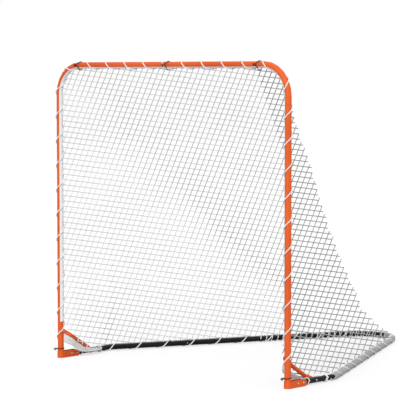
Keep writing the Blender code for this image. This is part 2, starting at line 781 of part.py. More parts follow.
def side_net_point(t, share, side):
    """A side panel's point: t runs down the seam, and share from the post (0) to the seam (1)."""
    seam = seam_point(t, RIGHT)
    edge_x = frame_edge_x(seam.z)
    out_x = min(edge_x - 0.005, seam.x + NET_BULGE)
    p, q = 1 - share, share
    high = Vector((p * p * edge_x + 2 * p * q * out_x + q * q * seam.x,
                   p * p * NET_EDGE + (2 * p * q + q * q) * seam.y, seam.z))
    x, y = base_outline(share)
    low = Vector((seam.x + (edge_x - seam.x) * x / POST_X,
                  NET_EDGE + (seam.y - NET_EDGE) * y / APEX_Y, seam.z))
    near_base = smooth_step((0.45 - seam.z) / 0.40)
    point = high.lerp(low, near_base)
    return Vector((side * point.x, point.y, point.z))


def first_share(t):
    """Where a side panel's row starts: at the post, or lower down at the cut corner above the brace."""
    z = seam_point(t, RIGHT).z
    if z >= NET_CORNER_Z:
        return 0
    start_y = NET_CORNER_Y * (NET_CORNER_Z - z) / (NET_CORNER_Z - NET_BOTTOM_Z)
    low, high = 0, 0.5
    for _ in range(20):
        middle = (low + high) / 2
        if side_net_point(t, middle, RIGHT).y < start_y:
            low = middle
        else:
            high = middle
    return low


def rear_net_point(t, share):
    """The rear panel's point: share runs from the left seam (-1) to the right one (1)."""
    seam = seam_point(t, RIGHT)
    slack = 0.05 * 4 * t * (1 - t) * (1 - share**2)
    return Vector((seam.x * share, seam.y - slack * 0.5, seam.z - slack))


def sheet_solid(name, rows, body):
    """A thin closed solid from rows of points that all hold as many."""
    bm = bmesh.new()
    grid = [[at(*point) for point in row] for row in rows]
    last_row, last = len(grid) - 1, len(grid[0]) - 1
    faces = {}
    for sign in (1, -1):
        layer = []
        for i, row in enumerate(grid):
            made = []
            for j, point in enumerate(row):
                down = grid[min(i + 1, last_row)][j] - grid[max(i - 1, 0)][j]
                over = row[min(j + 1, last)] - row[max(j - 1, 0)]
                made.append(bm.verts.new(point + down.cross(over).normalized() * sign * NET_THICKNESS / 2))
            layer.append(made)
        faces[sign] = layer
    for layer in faces.values():
        for a, b in zip(layer, layer[1:]):
            for j in range(last):
                bm.faces.new((a[j], a[j + 1], b[j + 1], b[j]))
    border = [(0, j) for j in range(last)] + [(i, last) for i in range(last_row)]
    border += [(last_row, j) for j in range(last, 0, -1)] + [(i, 0) for i in range(last_row, 0, -1)]
    for (i, j), (k, m) in zip(border, border[1:] + border[:1]):
        bm.faces.new((faces[1][i][j], faces[1][k][m], faces[-1][k][m], faces[-1][i][j]))
    return add_object(name, bm, body, netting)


def make_net(body):
    rows, columns = 9, 7
    steps = [0.02 + 0.965 * i / rows for i in range(rows + 1)]
    for side in (LEFT, RIGHT):
        grid = []
        for t in steps:
            start = first_share(t)
            shares = [start + (0.995 - start) * j / columns for j in range(columns + 1)]
            grid.append([side_net_point(t, share, side) for share in shares])
        sheet_solid(f"net_side_{SIDE_NAME[side]}", grid, body)
    grid = [
        [rear_net_point(t, 0.985 * (2 * j / columns - 1)) for j in range(columns + 1)]
        for t in (0.005 + 0.965 * i / rows for i in range(rows + 1))
    ]
    sheet_solid("net_rear", grid, body)


# --- the goal -----------------------------------------------------------------------------------------
clear_scene()
WORLD = empty("world_origin", Vector((0, 0, 0)))
mouth_body = empty("mouth_frame", at(0, 0, 0))
base_body = empty("base_fold_axis", at(0, PIVOT_Y, BASE_AXIS_Z))
front_pieces = make_front_frame(mouth_body)
base_tubes = make_base(base_body)
for each_side in (LEFT, RIGHT):
    brace_body = empty(f"brace_{SIDE_NAME[each_side]}_axis", at(each_side * POST_X, 0, BRACE_TOP_Z))
    brace_piece = make_brace(each_side, brace_body)
    make_foot_hardware(
        each_side, mouth_body, base_body, *front_pieces[each_side], base_tubes[each_side], brace_piece
    )
make_bungees(mouth_body)
make_front_lacing(mouth_body)
make_base_lacing(base_body)
make_net(mouth_body)
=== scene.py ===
"""Looks of the folding lacrosse goal: paint, hardware, knotted net, webbing, lacing and bungees.

Units are metres. +Z is up, and +Y runs from the mouth back to the apex of the base.
"""

import math

import bmesh
import bpy
import numpy as np
from mathutils import Matrix, Vector


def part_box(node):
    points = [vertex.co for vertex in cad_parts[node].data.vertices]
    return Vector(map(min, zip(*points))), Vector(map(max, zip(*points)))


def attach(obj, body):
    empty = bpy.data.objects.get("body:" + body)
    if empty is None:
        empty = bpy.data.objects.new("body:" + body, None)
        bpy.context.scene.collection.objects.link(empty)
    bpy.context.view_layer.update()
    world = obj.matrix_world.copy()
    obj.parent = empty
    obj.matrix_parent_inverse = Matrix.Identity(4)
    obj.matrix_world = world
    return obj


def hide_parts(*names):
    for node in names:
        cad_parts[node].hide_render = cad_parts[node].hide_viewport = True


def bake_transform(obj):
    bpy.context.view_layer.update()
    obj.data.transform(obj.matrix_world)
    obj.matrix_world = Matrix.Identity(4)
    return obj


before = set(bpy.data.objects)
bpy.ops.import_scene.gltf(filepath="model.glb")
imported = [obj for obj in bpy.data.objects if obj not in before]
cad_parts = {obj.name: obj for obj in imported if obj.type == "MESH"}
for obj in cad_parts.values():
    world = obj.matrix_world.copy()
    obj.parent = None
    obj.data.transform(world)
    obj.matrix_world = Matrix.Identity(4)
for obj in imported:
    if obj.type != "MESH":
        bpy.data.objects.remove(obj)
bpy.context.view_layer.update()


def middle(node):
    low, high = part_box(node)
    return (Vector(low) + Vector(high)) / 2


# --- dimensions, read from the frame or repeated from the CAD -------------------------------------------
POST = middle("post_lower_right")
POST_X, POST_Y = POST.x, POST.y
POST_R, BASE_R = 0.019, 0.016
CROSSBAR_Z = middle("crossbar_right").z
BASE_AXIS_Z = middle("base_rear_left").z
CORNER_RADIUS = 0.180
BASE_BEND_Y = 0.420
BASE_BEND_RADIUS = 0.100
APEX_Y = 2.095
APEX_RADIUS = 0.220
PIVOT_Y = 0.075
CORNER_X, CORNER_Z = POST_X - CORNER_RADIUS, CROSSBAR_Z - CORNER_RADIUS
ACROSS, BACKWARD, UP = Vector((1, 0, 0)), Vector((0, 1, 0)), Vector((0, 0, 1))
LEFT, RIGHT = -1, 1
SIDE_NAME = {LEFT: "left", RIGHT: "right"}

# --- net ------------------------------------------------------------------------------------------------
STRAND_SPREAD = 0.002668  # angle between neighbouring strands from the camera: 33 mm at the goal's middle
FALLING_SLOPE = math.radians(-7.1)  # slopes of the net's two families of strands from the camera
LEANING_SLOPE = math.radians(69.0)
TWINE_RADIUS = 0.0031
TWINE_SIDES = 5
KNOT_RADIUS = 0.0034
SOFT_SHARP_ANGLE = math.radians(60)  # steeper edges than this stay sharp on soft pieces
CAD_SHARP_ANGLE = math.radians(40)  # and on the CAD's nodes
SEAM_TOP_X = 0.695  # where the side panels' seams meet the crossbar
SEAM_SAG = 0.272  # how far a seam's middle hangs below a straight line
SEAM_END_Y = 2.085  # where the seams meet the base
SEAM_BOW = 0.028  # how far a seam's middle stands behind a straight line
SIDE_DEPTH = 2.083  # of the base's outline, as the side panels' lower curves are scaled from it
NET_TOP_Z = CROSSBAR_Z - POST_R - 0.004
NET_BOTTOM_Z = 0.045
NET_CORNER_Z = 0.200  # where the net's lower front corner leaves the post
NET_CORNER_Y = 0.200  # and where it reaches the base tube
CORNER_EDGE_SAG = 0.14  # four times how far that edge's middle hangs below a straight line
CORNER_BOW = 0.038  # how far the net stands in from the post near a brace, to clear its swing
NET_BULGE = 0.36  # how far outside its seam a side panel's middle control point lies
GATHERED_STRANDS = 14  # in the slack of each lower front corner
GATHER_TOP_Z, GATHER_STEP_Z = 0.152, 0.0035  # height of the first one's upper end, and the next one's drop
GATHER_END_Y, GATHER_STEP_Y = 0.345, 0.010
GATHER_SAG, GATHER_STEP_SAG = 0.046, 0.001

# --- webbing and lacing ---------------------------------------------------------------------------------
TAPE_WIDTH, TAPE_THICKNESS = 0.038, 0.0018
WEBBING_START = 0.231  # height of the webbing's ends on the posts
TAPE_STEP = 0.012
LACING_DIAMETER = 0.0068
BUNGEE_DIAMETER = 0.005
BUNGEE_LIFT = 0.010  # off the crossbar's underside, over the webbing
CORD_SIDES = 8
LACING_STEPS = 22
LACING_TURN = math.radians(324)  # how far round the tube one crossing goes
LACING_LEAN = 0.130  # how far along the tube one crossing takes the cord
WRAP_PITCH = 0.016  # between the strands of net wrapped over the base tube's outer side
WRAP_REACH = math.radians(66)
WRAP_LEAN = 0.04  # how far along the tube one such strand goes
OUTWARD_RISE = 0.12  # how far "outward" from the base tube tips up
MARGIN_DEPTH = 0.002  # what the net's margin adds to the base tube's radius under the lacing
LOOP_PITCH = 0.042  # between the strands that go on round its inner side
LOOP_REACH = math.radians(172)
LOOP_START = 1.1  # distance along the base from the margin's start to the first of those
LACING_LEFT_LOW = 0.296  # height of the left post's second crossing
LACING_RIGHT_LOW = 0.326  # height of the right post's last but one
LACING_TAIL_HEIGHTS = (0.115, 0.090, 0.066)  # of the lacing's end on the right post
ELBOW_CROSSING_SHARES = (0.65, 0.20)  # of each bend, from its post, where the lacing crosses
POST_LACING_PITCH = 0.1547
CROSSBAR_LACING_FIRST = -0.660  # from the crossbar's middle
CROSSBAR_LACING_PITCH = 0.158
BASE_MARGIN_START = BASE_BEND_Y - PIVOT_Y - 0.020  # along the base from the pivot
BASE_LACING_FIRST = 0.060  # from the margin's start
BASE_LACING_PITCH = 0.188
FOOT_LOOPS = ((0.092, 1), (0.255, 2))  # distance behind the pivot and turns of each loop

# --- camera ---------------------------------------------------------------------------------------------
CAMERA_PLACE = (8.111, -8.651, 1.790)
CAMERA_AZIMUTH = math.radians(42.0)
CAMERA_PITCH = math.radians(3.85)
CAMERA_LENS = 171.6

# --- light: "seen" is the strength in the picture itself, and "lit" is the strength as a source ---------
SUN_FROM, SUN_SPREAD, SUN_STRENGTH = (4, -7, 4), 25, 1.8
FLOOR_GREY, FLOOR_SEEN, FLOOR_LIT = 0.4, 0.6, 0.1
WORLD_SEEN, WORLD_LIT = 1.0, 0.85


def at(x, y, z):
    """The world point at x, y behind the posts' plane and z above the ground."""
    return Vector((x, y + POST_Y, z))


# --- node helpers ---------------------------------------------------------------------------------------
class Look:
    """A material under construction: add() makes a node, and join() links two sockets."""

    def __init__(self, name):
        self.material = bpy.data.materials.new(name)
        self.material.use_nodes = True
        self.tree = self.material.node_tree
        self.shader = self.tree.nodes["Principled BSDF"]

    def add(self, kind, **inputs):
        node = self.tree.nodes.new(kind)
        for name, value in inputs.items():
            node.inputs[name.replace("_", " ")].default_value = value
        return node

    def join(self, output, target):
        self.tree.links.new(output, target)

    def noise(self, scale, detail=3.0):
        place = self.add("ShaderNodeTexCoord")
        noise = self.add("ShaderNodeTexNoise", Scale=scale, Detail=detail)
        self.join(place.outputs["Object"], noise.inputs["Vector"])
        return noise.outputs["Fac"]

    def ramp(self, factor, stops):
        ramp = self.add("ShaderNodeValToRGB")
        elements = ramp.color_ramp.elements
        for element, (position, colour) in zip(elements, stops):
            element.position = position
            element.color = (*colour, 1)
        self.join(factor, ramp.inputs["Fac"])
        return ramp.outputs["Color"]

    def colour(self, factor, dark, light, start=0.35, end=0.65):
        self.join(self.ramp(factor, [(start, dark), (end, light)]), self.shader.inputs["Base Color"])

    def roughness(self, factor, low, high):
        span = self.add("ShaderNodeMapRange")
        span.inputs["To Min"].default_value = low
        span.inputs["To Max"].default_value = high
        self.join(factor, span.inputs["Value"])
        self.join(span.outputs["Result"], self.shader.inputs["Roughness"])

    def bump(self, height, distance, strength):
        bump = self.add("ShaderNodeBump", Strength=strength, Distance=distance)
        self.join(height, bump.inputs["Height"])
        self.join(bump.outputs["Normal"], self.shader.inputs["Normal"])

    def math(self, operation, first, second=None):
        node = self.add("ShaderNodeMath")
        node.operation = operation
        for socket, value in zip(node.inputs, (first, second)):
            if isinstance(value, (int, float)):
                socket.default_value = value
            elif value is not None:
                self.join(value, socket)
        return node.outputs["Value"]

    def uv(self):
        """Sockets of the distance round and along a swept piece, in metres."""
        place = self.add("ShaderNodeTexCoord")
        split = self.add("ShaderNodeSeparateXYZ")
        self.join(place.outputs["UV"], split.inputs["Vector"])
        return split.outputs["X"], split.outputs["Y"]


def set_surface(look, **values):
    for name, value in values.items():
        look.shader.inputs[name.replace("_", " ")].default_value = value


def powder_coat(name, dark, light, roughness, coat):
    """Baked powder: slow colour drift, fine orange peel and a clear gloss."""
    look = Look(name)
    look.colour(look.noise(2.5, 4), dark, light)
    look.roughness(look.noise(35), roughness - 0.05, roughness + 0.07)
    look.bump(look.noise(700, 2), 0.00008, 0.6)
    set_surface(look, Coat_Weight=coat, Coat_Roughness=0.12, Specular_IOR_Level=0.22)
    return look.material


def zinc_plate():
    look = Look("zinc_plate")
    look.colour(look.noise(90, 5), (0.52, 0.51, 0.47), (0.80, 0.79, 0.76))
    look.roughness(look.noise(160), 0.22, 0.42)
    look.bump(look.noise(900), 0.00005, 0.5)
    set_surface(look, Metallic=1.0)
    return look.material


def braided(name, dark, light, pitch, roughness):
    """A cord's cover: two families of strands that spiral opposite ways."""
    look = Look(name)
    around, along = look.uv()
    turn = math.tau / pitch
    one = look.math("SINE", look.math("MULTIPLY", look.math("ADD", around, along), turn))
    other = look.math("SINE", look.math("MULTIPLY", look.math("SUBTRACT", around, along), turn))
    height = look.math("MAXIMUM", one, other)
    # The colour follows the strands' height, so the grooves between them are painted darker: painted
    # shade.
    look.colour(height, dark, light, 0.0, 0.9)
    look.bump(height, 0.0004, 0.8)
    set_surface(look, Roughness=roughness)
    return look.material


def woven_tape():
    """Plain-woven webbing: ribs along it, crossed by the weft."""
    look = Look("woven_tape")
    across, along = look.uv()
    warp = look.math("SINE", look.math("MULTIPLY", across, math.tau / 0.0022))
    weft = look.math("SINE", look.math("MULTIPLY", along, math.tau / 0.0016))
    height = look.math("MULTIPLY", warp, weft)
    # The colour follows the weave's height, so its hollows are painted darker: painted shade.
    look.colour(height, (0.74, 0.745, 0.75), (0.95, 0.95, 0.95), -0.6, 0.7)
    look.bump(height, 0.0003, 0.8)
    set_surface(look, Roughness=0.85, Sheen_Weight=0.2, Sheen_Roughness=0.4)
    return look.material


def twine(name, dark, light):
    """Twisted nylon twine, its twist's grooves painted darker as painted shade, with a little dirt here
    and there.
    """
    look = Look(name)
    around, along = look.uv()
    spiral = look.math("SINE", look.math("ADD", look.math("MULTIPLY", along, math.tau / 0.004),
                                         look.math("MULTIPLY", around, math.tau / 0.0029)))
    # The twist's spiral darkens the colour in its grooves, painted shade; the noise adds real dirt.
    twist_shade_and_dirt = look.math("ADD", look.math("MULTIPLY", spiral, 0.25), look.noise(3.0, 4))
    look.colour(twist_shade_and_dirt, dark, light, 0.25, 0.8)
    look.bump(spiral, 0.0003, 0.7)
    set_surface(look, Roughness=0.62, Sheen_Weight=0.15, Sheen_Roughness=0.4)
    return look.material


def moulded_ball():
    look = Look("moulded_ball")
    look.colour(look.noise(120), (0.002, 0.002, 0.002), (0.006, 0.006, 0.006))
    look.roughness(look.noise(300), 0.40, 0.55)
    look.bump(look.noise(1500), 0.00004, 0.6)
    set_surface(look, Specular_IOR_Level=0.2)
    return look.material


# --- mesh helpers ---------------------------------------------------------------------------------------
class Soup:
    """Collects vertices, faces and UVs of many small shapes for one mesh."""

    def __init__(self):
        self.vertices, self.faces, self.uvs = [], [], []

    def sweep(self, points, section, closed_ends=True):
        """Sweeps a section, a list of (across, out) offsets, along points."""
        count, size = len(points), len(section)
        start = len(self.vertices)
        perimeter = [0.0]
        for (a, b), (c, d) in zip(section, section[1:] + section[:1]):
            perimeter.append(perimeter[-1] + math.hypot(c - a, d - b))
        heading = (points[1] - points[0]).normalized()
        drift = heading.orthogonal().normalized()
        travelled = [0.0]
        for i, point in enumerate(points):
            heading = (points[min(i + 1, count - 1)] - points[max(i - 1, 0)]).normalized()
            drift = (drift - heading * drift.dot(heading)).normalized()
            side = heading.cross(drift)
            self.vertices.extend(point + side * a + drift * b for a, b in section)
            if i:
                travelled.append(travelled[-1] + (point - points[i - 1]).length)
        for i in range(count - 1):
            low, high = start + i * size, start + (i + 1) * size
            for j in range(size):
                k = (j + 1) % size
                self.faces.append((low + j, low + k, high + k, high + j))
                u0, u1 = perimeter[j], perimeter[j + 1]
                v0, v1 = travelled[i], travelled[i + 1]
                self.uvs.extend([(u0, v0), (u1, v0), (u1, v1), (u0, v1)])
        if closed_ends:
            last = start + (count - 1) * size
            self.faces.append(tuple(start + j for j in reversed(range(size))))
            self.faces.append(tuple(last + j for j in range(size)))
            self.uvs.extend([(0.0, 0.0)] * (2 * size))

    def place(self, vertices, faces, matrix):
        start = len(self.vertices)
        self.vertices.extend(matrix @ v for v in vertices)
        for face in faces:
            self.faces.append(tuple(start + i for i in face))
            self.uvs.extend([(0.0, 0.0)] * len(face))

    def build(self, name, material):
        mesh = bpy.data.meshes.new(name)
        mesh.from_pydata([tuple(v) for v in self.vertices], [], self.faces)
        layer = mesh.uv_layers.new(name="UVMap")
        layer.data.foreach_set("uv", np.asarray(self.uvs, np.float32).ravel())
        mesh.shade_smooth()
        mesh.set_sharp_from_angle(angle=SOFT_SHARP_ANGLE)
        mesh.materials.append(material)
        obj = bpy.data.objects.new(name, mesh)
        bpy.context.scene.collection.objects.link(obj)
        return obj


def circle(radius, sides):
    return [
        (radius * math.cos(a), radius * math.sin(a)) for a in (math.tau * i / sides for i in range(sides))
    ]


def cord(name, points, diameter, material):
    soup = Soup()
    soup.sweep(points, circle(diameter / 2, CORD_SIDES))
    return soup.build(name, material)


# --- paths of the tubes ---------------------------------------------------------------------------------
def arc(centre, start_direction, turn_axis, radius, angle, steps):
    """Points along an arc that leaves in start_direction and turns round turn_axis."""
    spoke = start_direction.cross(turn_axis) * radius
    return [centre + Matrix.Rotation(angle * i / steps, 3, turn_axis) @ spoke for i in range(steps + 1)]


def base_turn():
    """The angle of the base's slanted runs from +Y, and where each meets the apex arc."""
    centre_y = APEX_Y - APEX_RADIUS
    reach = math.hypot(POST_X, centre_y - BASE_BEND_Y)
    angle = math.acos(APEX_RADIUS / reach) + math.atan2(BASE_BEND_Y - centre_y, POST_X)
    return angle, APEX_RADIUS * math.cos(angle), centre_y + APEX_RADIUS * math.sin(angle)


BASE_ANGLE, TANGENT_X, TANGENT_Y = base_turn()


class Route:
    """A line of points that can be asked for its point and heading at a distance."""

    def __init__(self, points):
        self.points = points
        steps = [(b - a).length for a, b in zip(points, points[1:])]
        self.distance = np.concatenate([[0.0], np.cumsum(steps)])
        self.length = self.distance[-1]
        self.array = np.array(points)

    def point(self, distance):
        return Vector([np.interp(distance, self.distance, self.array[:, i]) for i in range(3)])

    def heading(self, distance):
        return (self.point(distance + 0.004) - self.point(distance - 0.004)).normalized()


def frame_route():
    """The front frame's middle line, from the left foot over the top to the right foot."""
    points = [at(-POST_X, 0, 0)]
    points += arc(at(-CORNER_X, 0, CORNER_Z), UP, BACKWARD, CORNER_RADIUS, math.pi / 2, 24)
    points += arc(at(CORNER_X, 0, CORNER_Z), ACROSS, BACKWARD, CORNER_RADIUS, math.pi / 2, 24)
    points.append(at(POST_X, 0, 0))
    return Route(points)


def base_route(side):
    """One side of the base's middle line, from its pivot to the middle of the apex."""
    slant = Vector((-side * math.sin(BASE_ANGLE), math.cos(BASE_ANGLE), 0))
    shift = BASE_BEND_RADIUS * math.tan(BASE_ANGLE / 2)
    points = [at(side * POST_X, PIVOT_Y, BASE_AXIS_Z)]
    bend = at(side * (POST_X - BASE_BEND_RADIUS), BASE_BEND_Y - shift, BASE_AXIS_Z)
    points += arc(bend, BACKWARD, UP * side, BASE_BEND_RADIUS, BASE_ANGLE, 8)
    apex = at(0, APEX_Y - APEX_RADIUS, BASE_AXIS_Z)
    points += arc(apex, slant, UP * side, APEX_RADIUS, math.pi / 2 - BASE_ANGLE, 18)
    return Route(points)


def lifted(point, radius):
    """The point, raised if a strand of this radius would lie under the ground there."""
    return Vector((point.x, point.y, max(point.z, radius + 0.0003)))


def around(heading, toward, angle):
    """The unit direction at an angle round a tube from `toward`."""
    toward = (toward - heading * toward.dot(heading)).normalized()
    return toward * math.cos(angle) + heading.cross(toward) * math.sin(angle)


def inward(heading):
    """From the front frame's tube towards the mouth."""
    return heading.cross(-BACKWARD)


# --- webbing --------------------------------------------------------------------------------------------
def tape(name, route, start, end, toward, tube_radius, material):
    """Webbing that lies on a tube between two distances along it, with soft rolled edges."""
    soup = Soup()
    half = TAPE_WIDTH / 2 / (tube_radius + TAPE_THICKNESS)
    inner = tube_radius + 0.0004
    outer = inner + TAPE_THICKNESS
    section = []
    for i in range(9):
        angle = half * (i / 4 - 1)
        section.append((angle, outer - (0.0006 if i in (0, 8) else 0)))
    for i in range(8, -1, -1):
        section.append((half * (i / 4 - 1) * 0.985, inner))
    count = int((end - start) / TAPE_STEP) + 1
    rings = []
    for n in range(count):
        distance = start + (end - start) * n / (count - 1)
        point, heading = route.point(distance), route.heading(distance)
        rings.append((distance, [point + around(heading, toward(heading), a) * r for a, r in section]))
    size = len(section)
    for distance, ring in rings:
        soup.vertices.extend(ring)
    for n in range(count - 1):
        for j in range(size):
            k = (j + 1) % size
            low, high = n * size, (n + 1) * size
            soup.faces.append((low + j, low + k, high + k, high + j))
            u0, u1 = section[j][0] * outer, section[k][0] * outer
            v0, v1 = rings[n][0], rings[n + 1][0]
            soup.uvs.extend([(u0, v0), (u1, v0), (u1, v1), (u0, v1)])
    for first, order in ((0, range(size - 1, -1, -1)), ((count - 1) * size, range(size))):
        soup.faces.append(tuple(first + j for j in order))
        soup.uvs.extend([(0.0, 0.0)] * size)
    return soup.build(name, material)


# --- lacing ---------------------------------------------------------------------------------------------
def lacing_points(route, crossings, toward, turn, tube_radius, first_share=0.0):
    """A cord that runs along the tape and goes round the tube once at each of crossings.

    The first crossing starts first_share of the way round."""
    half_tape = TAPE_WIDTH / 2 / tube_radius
    low = tube_radius + LACING_DIAMETER / 2 + 0.0003
    high = low + TAPE_THICKNESS + 0.0006
    points = []
    last = None
    for crossing in crossings:
        if last is not None:
            for share in (0.2, 0.4, 0.6, 0.8):
                first_end, second_start = last + 0.3 * LACING_LEAN, crossing - 0.7 * LACING_LEAN
                distance = first_end + (second_start - first_end) * share
                swing = (math.tau - LACING_TURN) / 2 * (2 * share - 1)
                heading = route.heading(distance)
                points.append(
                    route.point(distance) + around(heading, toward(heading), turn * swing) * high
                )
        for step in range(LACING_STEPS + 1):
            share = step / LACING_STEPS
            if last is None and share < first_share:
                continue
            angle = (math.tau - LACING_TURN) / 2 + share * LACING_TURN
            distance = crossing + (share - 0.7) * LACING_LEAN
            heading = route.heading(distance)
            over = min(angle, math.tau - angle)
            blend = min(max((half_tape + 0.45 - over) / 0.4, 0), 1)
            reach = low + (high - low) * blend
            point = route.point(distance) + around(heading, toward(heading), turn * angle) * reach
            points.append(lifted(point, LACING_DIAMETER / 2))
        last = crossing
    return points


# --- net surfaces ---------------------------------------------------------------------------------------
def seam_point(t):
    """The right seam, from the crossbar (t = 0) down to the apex (t = 1), as x, y, z."""
    sag = 4 * t * (1 - t)
    z = NET_TOP_Z + (NET_BOTTOM_Z - NET_TOP_Z) * t - SEAM_SAG * sag
    return np.array([SEAM_TOP_X * (1 - t), SEAM_END_Y * t + SEAM_BOW * sag, z])


def frame_edge_x(z):
    """How far out the front frame lets the net reach at a height."""
    reach = CORNER_RADIUS - POST_R - 0.001
    rise = min(max(z - CORNER_Z, 0.0), reach)
    return CORNER_X + math.sqrt(reach**2 - rise**2)


def base_outline(share):
    """x and y on the middle line of one side of the base, at a share of the way from post to apex."""
    slant_length = math.hypot(POST_X - TANGENT_X, TANGENT_Y - BASE_BEND_Y)
    arc_length = APEX_RADIUS * (math.pi / 2 - BASE_ANGLE)
    distance = share * (BASE_BEND_Y + slant_length + arc_length)
    if distance < BASE_BEND_Y:
        return POST_X, distance
    distance -= BASE_BEND_Y
    if distance < slant_length:
        part = distance / slant_length
        return POST_X + (TANGENT_X - POST_X) * part, BASE_BEND_Y + (TANGENT_Y - BASE_BEND_Y) * part
    angle = BASE_ANGLE + (distance - slant_length) / APEX_RADIUS
    return APEX_RADIUS * math.cos(angle), APEX_Y - APEX_RADIUS + APEX_RADIUS * math.sin(angle)


def fade(value, full, none):
    """Falls smoothly from 1 at full to 0 at none."""
    part = min(max((none - value) / (none - full), 0.0), 1.0)
    return part * part * (3 - 2 * part)


def side_point(t, share, side):
    """A side panel's point: t runs down the seam, and share from the post (0) to the seam (1)."""
    seam_x, seam_y, z = seam_point(t)
    edge_x = frame_edge_x(z)
    out_x = min(edge_x - 0.005, seam_x + NET_BULGE)
    p, q = 1 - share, share
    high = np.array([p * p * edge_x + 2 * p * q * out_x + q * q * seam_x, (2 * p * q + q * q) * seam_y])
    x, y = base_outline(share)
    low = np.array([seam_x + (edge_x - seam_x) * x / POST_X, seam_y * y / SIDE_DEPTH])
    flat = high + (low - high) * fade(z, 0.05, 0.45)
    bow = CORNER_BOW * fade(z, 0.47, 0.65) * fade(flat[1], 0.30, 0.40) * min(flat[1] / 0.02, 1)
    return np.array([side * (flat[0] - bow), flat[1], z])


def rear_point(t, share):
    """The rear panel's point: share runs from the left seam (-1) to the right one (1)."""
    seam_x, seam_y, z = seam_point(t)
    slack = 0.05 * 4 * t * (1 - t) * (1 - share**2)
    return np.array([seam_x * share, seam_y - slack * 0.5, z - slack])


def corner_line_z(y):
    """Height of the net's lower front edge, which sags from the post back to the base tube."""
    share = y / NET_CORNER_Y
    return NET_CORNER_Z + (NET_BOTTOM_Z - NET_CORNER_Z) * share - CORNER_EDGE_SAG * share * (1 - share)


# --- net strands ----------------------------------------------------------------------------------------
def camera_axes():
    """The camera's right, up and forward directions."""
    turn, dip = CAMERA_AZIMUTH, CAMERA_PITCH
    right = np.array([math.cos(turn), math.sin(turn), 0.0])
    level = np.array([-math.sin(turn), math.cos(turn), 0.0])
    forward = level * math.cos(dip) - np.array([0.0, 0.0, math.sin(dip)])
    return right, np.cross(right, forward), forward


def family(slope):
    """Numbers a point by the strand it is on: the strands lie in planes that fan out from the camera."""
    right, up, forward = camera_axes()
    normal = up * math.cos(slope) - right * math.sin(slope)

    def strand_number(point):
        away = point - np.array(CAMERA_PLACE)
        return away @ normal / (away @ forward) / STRAND_SPREAD

    return strand_number


def level_chains(grid, own):
    """Chains of grid points, interpolated, where the column `own` crosses whole numbers."""
    rows, columns = grid.shape[:2]
    flat = grid.reshape(-1, grid.shape[2])
    joined, place = {}, {}
    for i in range(rows - 1):
        for j in range(columns - 1):
            a, b = i * columns + j, i * columns + j + 1
            c, d = a + columns, b + columns
            for corners in ((a, c, d), (a, d, b)):
                values = [flat[k, own] for k in corners]
                for level in range(math.ceil(min(values)), math.floor(max(values)) + 1):
                    keys = []
                    for m in range(3):
                        p, q = sorted((corners[m], corners[m - 1]))
                        low, high = flat[p, own] - level, flat[q, own] - level
                        if (low < 0) == (high < 0):
                            continue
                        key = (level, p, q)
                        place[key] = flat[p] + (flat[q] - flat[p]) * (low / (low - high))
                        keys.append(key)
                    if len(keys) == 2:
                        joined.setdefault(keys[0], []).append(keys[1])
                        joined.setdefault(keys[1], []).append(keys[0])
    chains, used = [], set()
    for start in sorted(key for key, near in joined.items() if len(near) == 1):
        if start in used:
            continue
        chain, key = [], start
        while key is not None:
            used.add(key)
            chain.append(place[key])
            key = next((near for near in joined[key] if near not in used), None)
        chains.append(chain)
    return chains


def cut_at_whole_numbers(chain, column, per_unit):
    """The chain's ends, and its points where the column passes whole numbers over per_unit."""
    cut = [chain[0]]
    for a, b in zip(chain, chain[1:]):
        low, high = a[column] * per_unit, b[column] * per_unit
        marks = range(math.ceil(min(low, high)), math.floor(max(low, high)) + 1)
        inside = [(mark - low) / (high - low) for mark in marks if low != high]
        for share in sorted(s for s in inside if 0 < s < 1):
            cut.append(a + (b - a) * share)
    cut.append(chain[-1])
    return cut


def above_corner(points):
    """The runs of points that lie above the net's lower front edge."""
    runs, run = [], []
    for point in points:
        if point[1] > NET_CORNER_Y or point[2] > corner_line_z(max(point[1], 0.0)):
            run.append(point)
        else:
            runs.append(run)
            run = []
    return [r for r in runs + [run] if len(r) > 1]


def knot_shape():
    bm = bmesh.new()
    bmesh.ops.create_icosphere(bm, subdivisions=1, radius=KNOT_RADIUS)
    vertices = [v.co.copy() for v in bm.verts]
    faces = [tuple(v.index for v in face.verts) for face in bm.faces]
    bm.free()
    return vertices, faces


def netting(name, surface, rows, shares, families, material):
    """One net panel: twine along both families, and a knot where two strands cross."""
    grid = np.array([
        [
            [*point, families[0](point), families[1](point)]
            for point in (surface(t, share) for share in shares)
        ]
        for t in rows
    ])
    soup = Soup()
    vertices, faces = knot_shape()
    for own, other in ((3, 4), (4, 3)):
        for chain in level_chains(grid, own):
            cut = cut_at_whole_numbers(chain, other, 2)
            for run in above_corner(cut):
                points = [at(*p[:3]) for p in run]
                if sum((b - a).length for a, b in zip(points, points[1:])) < 0.008:
                    continue
                points = [p for i, p in enumerate(points) if i == 0 or (p - points[i - 1]).length > 1e-4]
                soup.sweep(points, circle(TWINE_RADIUS, TWINE_SIDES), closed_ends=False)
                if own == 3:
                    for p in run[1:-1]:
                        if abs(p[4] - round(p[4])) < 1e-6:
                            turn = Matrix.Rotation(p[3] * 2.1 + p[4] * 1.3, 4, Vector((1, 0.4, 0.2)))
                            shape = Matrix.Diagonal((1, 0.8, 1.15, 1))
                            soup.place(vertices, faces, Matrix.Translation(at(*p[:3])) @ turn @ shape)
    return soup.build(name, material)


def fold_with_base(obj):
    """Bakes the piece's world placement into its mesh."""
    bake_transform(obj)


# --- CAD nodes ------------------------------------------------------------------------------------------
def dress(nodes, material):
    for name in nodes:
        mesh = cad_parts[name].data
        mesh.materials.clear()
        mesh.materials.append(material)
        mesh.shade_smooth()
        mesh.set_sharp_from_angle(angle=CAD_SHARP_ANGLE)


